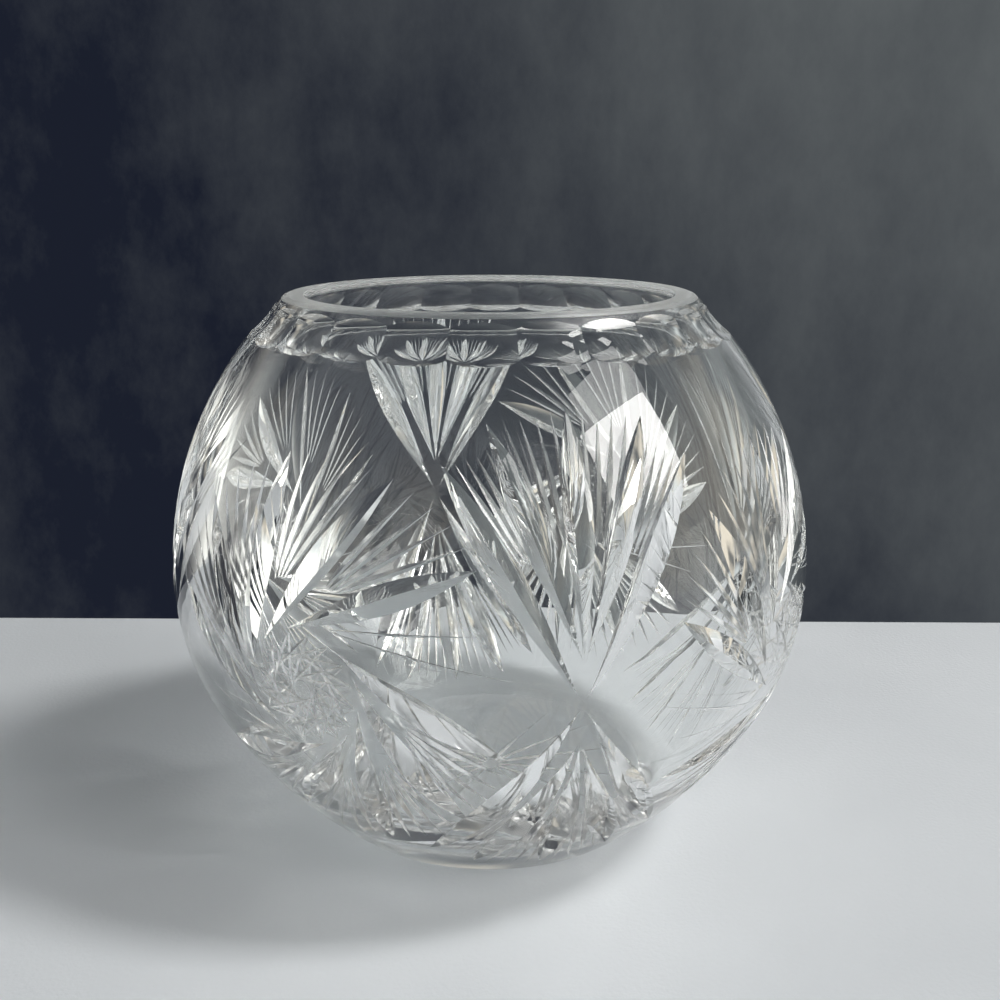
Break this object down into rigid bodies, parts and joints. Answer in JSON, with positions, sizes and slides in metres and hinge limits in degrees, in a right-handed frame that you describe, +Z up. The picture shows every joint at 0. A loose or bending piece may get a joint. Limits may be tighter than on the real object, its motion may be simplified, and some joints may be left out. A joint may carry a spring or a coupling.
{
  "type": "rose bowl vase",
  "caption": "Round clear crystal rose bowl with a ground lip, fluted neck and wheel-cut pinwheels and hourglass fans.",
  "frame": {"origin": "centre of the base, on the surface that the bowl stands on", "axes": "+Z up along the bowl's axis; -Y is the front and looks at the waist of an hourglass fan"},
  "size_m": [0.15, 0.15, 0.126],
  "materials": {
    "crystal": "polished clear lead crystal"
  },
  "bodies": {
    "root": {"crystal_bowl": "crystal"}
  },
  "joints": []
}
